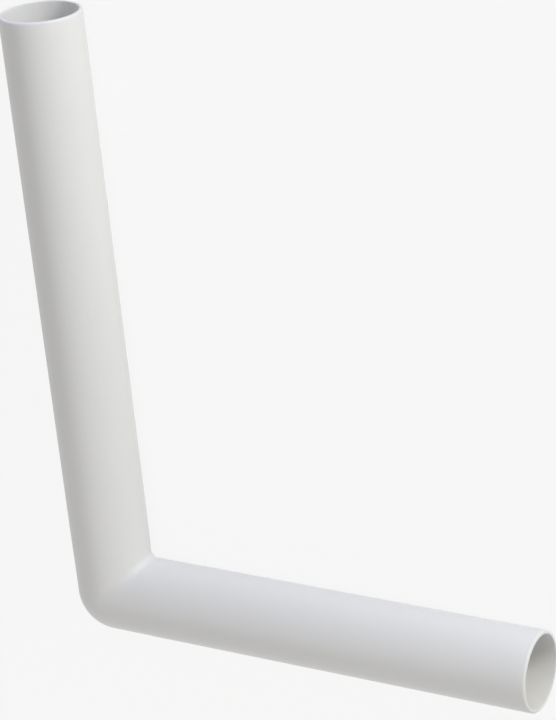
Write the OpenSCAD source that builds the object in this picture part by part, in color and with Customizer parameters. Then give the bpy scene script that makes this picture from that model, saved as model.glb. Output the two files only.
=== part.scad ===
// Bent overflow pipe: one plastic tube with a long leg, a short leg and a tight right-angle bend.
// It lies on its side, with the long leg along +Y and the short leg along +X.
// The origin is under the middle of the space that the pipe covers, on the surface that it lies on.

/* [Tube] */
// Outside diameter of the straight legs
tube_d = 44; // [36:0.5:60]
// Thickness of the wall in the straight legs
wall = 2; // [1.5:0.1:3]

/* [Legs] */
// Long leg, from the crossing of the two axes to its mouth
long_leg = 340; // [150:1:600]
// Short leg, from the crossing of the two axes to its mouth
short_leg = 262; // [120:1:500]

/* [Bend] */
// Radius that the axis turns through at the heel, the outside of the bend
heel_turn = 3; // [2:0.5:10]
// Radius of the throat, the inside corner of the bend
throat_r = 3; // [2:0.5:15]
// Thickness of the wall in the bend, where the plastic gathers
bend_wall = 2.4; // [2:0.1:4]
// How much smaller the outside radius is in the bend
bend_neck = 0.1; // [0.1:0.1:1]
// Length over which each leg passes from the bend's section to its own
neck_run = 4; // [2:1:40]

/* [Mouths] */
// Rounding of the outer edge of each mouth
mouth_edge = 1.2; // [0.4:0.1:1.4]

/* [Hidden] */
tube_r = tube_d / 2;
bore_r = tube_r - wall;
bend_tube_r = tube_r - bend_neck;
bend_bore_r = bend_tube_r - bend_wall;
// The throat turns about an upright line that stands this far from both axes
throat_turn = bend_tube_r + throat_r;
// Share of throat_turn at which the throat's turned tube is cut off flat above and below.
// Above (sqrt(2) - 1) / (sqrt(2) + 1), or 0.172, the cut tube stays inside the legs.
throat_flat_share = 0.19;
throat_flat = throat_flat_share * throat_turn;
// How far the bore is cut past each mouth
past_mouth = 1;
$fn = 96;

// One leg turned about +Z: bend_r at the bend, then over neck_run to r, then straight to its mouth
module leg(r, bend_r, end, edge) {
    rotate_extrude()
        difference() {
            polygon([
                [0, heel_turn],
                [bend_r, heel_turn],
                [bend_r, throat_turn],
                [r, throat_turn + neck_run],
                [r, end],
                [0, end]
            ]);
            if (edge > 0)
                translate([r - edge, end - edge])
                    difference() {
                        square(2 * edge);
                        circle(edge);
                    }
        }
}

// A quarter turn of a round section about an upright line that stands at turn from both axes
module quarter_turn(turn, r, half_height) {
    translate([turn, turn, 0])
        rotate([0, 0, 180])
            rotate_extrude(angle = 90)
                intersection() {
                    translate([turn, 0]) circle(r);
                    translate([0, -half_height]) square([turn + r, 2 * half_height]);
                }
}

// The whole bent tube as a solid: both legs at r, and the heel and throat of the bend at bend_r
module bent_tube(r, bend_r, past, edge) {
    rotate([-90, 0, 0]) leg(r, bend_r, long_leg + past, edge);
    rotate([0, 90, 0]) leg(r, bend_r, short_leg + past, edge);
    quarter_turn(heel_turn, bend_r, bend_r);
    quarter_turn(throat_turn, bend_r, sqrt(bend_r * bend_r - throat_flat * throat_flat));
}

module pipe() {
    color("whitesmoke")
        translate([(tube_r - short_leg) / 2, (tube_r - long_leg) / 2, tube_r])
            difference() {
                bent_tube(tube_r, bend_tube_r, 0, mouth_edge);
                bent_tube(bore_r, bend_bore_r, past_mouth, 0);
            }
}

pipe();
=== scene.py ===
import math

import bmesh
import bpy
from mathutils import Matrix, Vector


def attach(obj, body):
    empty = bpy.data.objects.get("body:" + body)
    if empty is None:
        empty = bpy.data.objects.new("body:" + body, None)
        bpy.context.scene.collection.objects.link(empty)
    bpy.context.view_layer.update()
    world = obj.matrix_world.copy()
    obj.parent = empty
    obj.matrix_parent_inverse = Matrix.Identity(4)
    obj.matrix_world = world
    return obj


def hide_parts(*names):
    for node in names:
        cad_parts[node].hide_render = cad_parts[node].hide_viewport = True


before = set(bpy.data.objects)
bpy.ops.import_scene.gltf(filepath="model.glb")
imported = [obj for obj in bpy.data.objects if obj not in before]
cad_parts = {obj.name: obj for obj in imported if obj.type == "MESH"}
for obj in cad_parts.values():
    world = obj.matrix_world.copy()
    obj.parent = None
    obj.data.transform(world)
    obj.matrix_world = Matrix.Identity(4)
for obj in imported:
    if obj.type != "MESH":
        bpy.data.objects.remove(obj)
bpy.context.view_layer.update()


def node(tree, kind, **values):
    # a new shader node, with its settings and the values of its sockets
    made = tree.nodes.new(kind)
    for name, value in values.items():
        if hasattr(made, name):
            setattr(made, name, value)
        else:
            made.inputs[name].default_value = value
    return made


# the tube, in metres, as in the CAD part
pipeSet = {
    "tubeRadius": 0.022,
    "wall": 0.002,
    "bendWall": 0.0024,
    "bendNeck": 0.0001,
    "neckRun": 0.004,
    "heelTurn": 0.003,
    "throatRadius": 0.003,
    "throatSoftness": 0.6,  # 0 keeps the crease narrow all the way up, 1 opens it fast
    "longLeg": 0.340,
    "shortLeg": 0.262,
    "mouthEdge": 0.0012,
    "innerEdge": 0.0003,
    "around": 144,
    "bendSteps": 96,
    "edgeSteps": 8,
    "legStep": 0.006,
}


def corner(w, r, turn, s):
    # centre of the arc that rounds the corner of the line at half width w
    heel, soft = s["heelTurn"], s["throatSoftness"]
    if w <= 0:
        return heel
    share = w / r
    share = (1 - soft) * share + soft * math.sin(share * math.pi / 2)
    return heel + (turn - heel) * share


def bendPoint(theta, angle, r, turn, s):
    # where the plane at theta through the turning line meets the skin at angle round the tube
    w, z = r * math.cos(angle), r * math.sin(angle)
    c = corner(w, r, turn, s)
    lean = min(theta, math.pi / 2 - theta)
    if (turn - w) * math.tan(lean) <= turn - c:
        rho = (turn - w) / math.cos(lean)
    else:
        reach = (turn - c) * math.sqrt(2)
        off = theta - math.pi / 4
        rho = reach * math.cos(off) + math.sqrt((c - w) ** 2 - (reach * math.sin(off)) ** 2)
    return Vector((turn - rho * math.cos(theta), turn - rho * math.sin(theta), z))


def legPoint(leg, along, angle, r):
    across = r * math.cos(angle)
    x, y = (across, along) if leg == "long" else (along, across)
    return Vector((x, y, r * math.sin(angle)))


def smooth(x):
    x = min(max(x, 0.0), 1.0)
    return x * x * (3 - 2 * x)


def legStations(end, turn, rBend, rLeg, s):
    # places along a leg from the bend to just short of its mouth, each with its radius
    steps = max(int((end - turn) / s["legStep"]), 1)
    places = [turn + (end - turn) * i / steps for i in range(1, steps + 1)]
    return [(p, rBend + (rLeg - rBend) * smooth((p - turn) / s["neckRun"])) for p in places]


def rimStations(end, s):
    # from the outside of the tube over its rounded edge to the bore
    r, edge, lip = s["tubeRadius"], s["mouthEdge"], s["innerEdge"]
    bore, steps = r - s["wall"], s["edgeSteps"]
    quarter = [math.pi / 2 * k / steps for k in range(1, steps + 1)]
    outer = [(end - edge + edge * math.sin(q), r - edge + edge * math.cos(q)) for q in quarter]
    inner = [(end - lip + lip * math.cos(q), bore + lip - lip * math.sin(q)) for q in quarter]
    return outer + [(end, bore + lip)] + inner


def pipeWalk(rBend, rBore, turn, s):
    # one closed walk: out along the long leg, back through the bore and out again along the short leg
    bore = s["tubeRadius"] - s["wall"]
    longEnd, shortEnd = s["longLeg"], s["shortLeg"]
    thetas = [math.pi / 2 * k / s["bendSteps"] for k in range(s["bendSteps"] + 1)]

    def outerLeg(leg, end):
        return [(leg, p, r) for p, r in legStations(end - s["mouthEdge"], turn, rBend, s["tubeRadius"], s)]

    def boreLeg(leg, end):
        return [(leg, p, r) for p, r in legStations(end - s["innerEdge"], turn, rBore, bore, s)]

    walk = [("bend", t, rBend) for t in reversed(thetas)]
    walk += outerLeg("long", longEnd) + [("long", p, r) for p, r in rimStations(longEnd, s)]
    walk += boreLeg("long", longEnd)[-2::-1]
    walk += [("bend", t, rBore) for t in thetas]
    walk += boreLeg("short", shortEnd)[:-1] + [("short", p, r) for p, r in reversed(rimStations(shortEnd, s))]
    walk += outerLeg("short", shortEnd)[::-1]
    return walk


def buildPipe(s):
    tubeR = s["tubeRadius"]
    rBend = tubeR - s["bendNeck"]
    rBore = rBend - s["bendWall"]
    turn = rBend + s["throatRadius"]
    walk = pipeWalk(rBend, rBore, turn, s)
    middle = Vector(((tubeR - s["shortLeg"]) / 2, (tubeR - s["longLeg"]) / 2, tubeR))

    bm = bmesh.new()
    space = bm.verts.layers.float_vector.new("tubeSpace")
    start = bmesh.ops.create_circle(bm, cap_ends=False, segments=s["around"], radius=1.0)["verts"]
    angleOf = {v: math.atan2(v.co.y, v.co.x) for v in start}

    def place(v, station):
        kind, where, r = station
        angle = angleOf[v]
        if kind == "bend":
            co = bendPoint(where, angle, r, turn, s)
            along = (where - math.pi / 4) * turn
        else:
            co = legPoint(kind, where, angle, r)
            along = (where - turn + math.pi / 4 * turn) * (-1 if kind == "long" else 1)
        v[space] = Vector((r * math.cos(angle), r * math.sin(angle), along))
        v.co = co + middle

    first = list(bm.edges)
    edges = first
    ring = set(start)
    for v in ring:
        place(v, walk[0])
    for station in walk[1:]:
        made = bmesh.ops.extrude_edge_only(bm, edges=edges)["geom"]
        fresh = {g for g in made if isinstance(g, bmesh.types.BMVert)}
        for v in fresh:
            angleOf[v] = next(angleOf[e.other_vert(v)] for e in v.link_edges if e.other_vert(v) in ring)
            place(v, station)
        edges = [e for e in made if isinstance(e, bmesh.types.BMEdge) and set(e.verts) <= fresh]
        ring = fresh
    bmesh.ops.bridge_loops(bm, edges=edges + first)
    bmesh.ops.recalc_face_normals(bm, faces=bm.faces)
    for f in bm.faces:
        f.smooth = True
    mesh = bpy.data.meshes.new("pipeSkin")
    bm.to_mesh(mesh)
    bm.free()
    made = bpy.data.objects.new("pipeSkin", mesh)
    bpy.context.scene.collection.objects.link(made)
    return made


# scales are in turns per metre and depths in metres
plasticSet = {
    "colour": (0.865, 0.862, 0.85, 1.0),
    "roughness": 0.42,
    "specular": 0.45,
    "subsurface": 0.08,
    "subsurfaceScale": 0.002,
    "subsurfaceRadius": (1.0, 0.9, 0.8),
    "streakScale": 260.0,
    "streakStretch": 0.02,  # how much the pattern turns along the tube, against round it
    "streakDepth": 0.00004,
    "grainScale": 2500.0,
    "grainDepth": 0.000006,
    "toneScale": 22.0,
    "toneShare": 0.03,
}


def plastic(s):
    mat = bpy.data.materials.new("satinPlastic")
    mat.use_nodes = True
    tree = mat.node_tree
    tree.nodes.clear()
    out = node(tree, "ShaderNodeOutputMaterial")
    skin = node(tree, "ShaderNodeBsdfPrincipled", Roughness=s["roughness"])
    skin.inputs["Specular IOR Level"].default_value = s["specular"]
    skin.inputs["Subsurface Weight"].default_value = s["subsurface"]
    skin.inputs["Subsurface Scale"].default_value = s["subsurfaceScale"]
    skin.inputs["Subsurface Radius"].default_value = s["subsurfaceRadius"]
    tree.links.new(skin.outputs[0], out.inputs["Surface"])
    where = node(tree, "ShaderNodeAttribute", attribute_name="tubeSpace")

    # faint lines along the tube, left by the tool that drew it
    squeeze = node(tree, "ShaderNodeVectorMath", operation="MULTIPLY")
    squeeze.inputs[1].default_value = (1.0, 1.0, s["streakStretch"])
    tree.links.new(where.outputs["Vector"], squeeze.inputs[0])
    streak = node(tree, "ShaderNodeTexNoise", Scale=s["streakScale"], Detail=3.0)
    tree.links.new(squeeze.outputs[0], streak.inputs["Vector"])
    cloud = node(tree, "ShaderNodeTexNoise", Scale=s["toneScale"], Detail=3.0)
    tree.links.new(where.outputs["Vector"], cloud.inputs["Vector"])
    grain = node(tree, "ShaderNodeTexNoise", Scale=s["grainScale"], Detail=2.0)
    tree.links.new(where.outputs["Vector"], grain.inputs["Vector"])

    # slow change of tone; 6 and 7 are the mix node's two colours and 2 is its colour out
    tone = node(tree, "ShaderNodeMapRange")
    tone.inputs["To Min"].default_value = 1 - s["toneShare"]
    tone.inputs["To Max"].default_value = 1.0
    tree.links.new(cloud.outputs[0], tone.inputs["Value"])
    colour = node(tree, "ShaderNodeMix", data_type="RGBA", blend_type="MULTIPLY")
    colour.inputs["Factor"].default_value = 1.0
    colour.inputs[6].default_value = s["colour"]
    tree.links.new(tone.outputs[0], colour.inputs[7])
    tree.links.new(colour.outputs[2], skin.inputs["Base Color"])

    lines = node(tree, "ShaderNodeBump", Strength=1.0, Distance=s["streakDepth"])
    tree.links.new(streak.outputs[0], lines.inputs["Height"])
    fine = node(tree, "ShaderNodeBump", Strength=1.0, Distance=s["grainDepth"])
    tree.links.new(grain.outputs[0], fine.inputs["Height"])
    tree.links.new(lines.outputs[0], fine.inputs["Normal"])
    tree.links.new(fine.outputs[0], skin.inputs["Normal"])
    return mat


floorSet = {
    "halfWidth": 6.0,
    "colour": (0.85, 0.85, 0.84, 1.0),
    "shadow": 0.15,  # how much of the floor's own shading the camera sees
}


def buildFloor(s):
    bm = bmesh.new()
    bmesh.ops.create_grid(bm, x_segments=1, y_segments=1, size=s["halfWidth"])
    mesh = bpy.data.meshes.new("floor")
    bm.to_mesh(mesh)
    bm.free()
    floor = bpy.data.objects.new("floor", mesh)
    bpy.context.scene.collection.objects.link(floor)
    mat = bpy.data.materials.new("paleFloor")
    mat.use_nodes = True
    tree = mat.node_tree
    tree.nodes.clear()
    out = node(tree, "ShaderNodeOutputMaterial")
    matte = node(tree, "ShaderNodeBsdfDiffuse", Color=s["colour"])
    bright = node(tree, "ShaderNodeEmission", Strength=1.0)

    # the floor looks bright to the camera and in gloss, and lights the pipe as a plain floor
    ray = node(tree, "ShaderNodeLightPath")
    seen = ray.outputs["Is Camera Ray"]
    for kind in ("Is Glossy Ray", "Is Transmission Ray"):
        either = node(tree, "ShaderNodeMath", operation="MAXIMUM")
        tree.links.new(seen, either.inputs[0])
        tree.links.new(ray.outputs[kind], either.inputs[1])
        seen = either.outputs[0]
    share = node(tree, "ShaderNodeMath", operation="MULTIPLY")
    share.inputs[1].default_value = 1 - s["shadow"]
    tree.links.new(seen, share.inputs[0])
    mix = node(tree, "ShaderNodeMixShader")
    tree.links.new(share.outputs[0], mix.inputs[0])
    tree.links.new(matte.outputs[0], mix.inputs[1])
    tree.links.new(bright.outputs[0], mix.inputs[2])
    tree.links.new(mix.outputs[0], out.inputs["Surface"])
    mesh.materials.append(mat)


lightSet = {
    "skyColour": (1.0, 0.99, 0.975, 1.0),
    "skyStrength": 0.47,
    # name: place, size across and up, power in watts, colour
    "lamps": {
        "key": ((0.849, 0.765, 0.13), (0.50, 0.20), 6.7, (1.0, 0.995, 0.93)),
        "blueSide": ((0.139, 1.13, 0.16), (0.60, 0.25), 1.9, (0.20, 0.35, 1.0)),
        "fill": ((0.0, -0.766, 0.643), (0.60, 0.60), 1.15, (0.96, 0.97, 1.0)),
    },
}


def buildLight(s):
    world = bpy.data.worlds.new("room")
    bpy.context.scene.world = world
    world.use_nodes = True
    sky = world.node_tree.nodes["Background"]
    sky.inputs["Color"].default_value = s["skyColour"]
    sky.inputs["Strength"].default_value = s["skyStrength"]
    for name, (place, size, power, colour) in s["lamps"].items():
        lamp = bpy.data.lights.new(name, "AREA")
        lamp.shape = "RECTANGLE"
        lamp.size, lamp.size_y = size
        lamp.energy = power
        lamp.color = colour
        made = bpy.data.objects.new(name, lamp)
        made.location = place
        made.rotation_euler = Vector(place).to_track_quat("Z", "Y").to_euler()
        bpy.context.scene.collection.objects.link(made)


cameraSet = {
    "place": (0.59893, 0.49751, 1.00988),
    "turn": (-26.281, 28.772, -5.948),  # degrees about x, y and z
    "lens": 120.56,
}


def buildCamera(s):
    cam = bpy.data.cameras.new("camera")
    cam.lens = s["lens"]
    made = bpy.data.objects.new("camera", cam)
    made.location = s["place"]
    made.rotation_euler = [math.radians(a) for a in s["turn"]]
    bpy.context.scene.collection.objects.link(made)
    bpy.context.scene.camera = made


pipe = buildPipe(pipeSet)
pipe.data.materials.append(plastic(plasticSet))
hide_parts("pipe")
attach(pipe, "root")
print("pipe built:", len(pipe.data.polygons), "faces")

buildFloor(floorSet)
buildLight(lightSet)
buildCamera(cameraSet)
bpy.context.scene.view_settings.view_transform = "Standard"
print("floor, light and camera set")
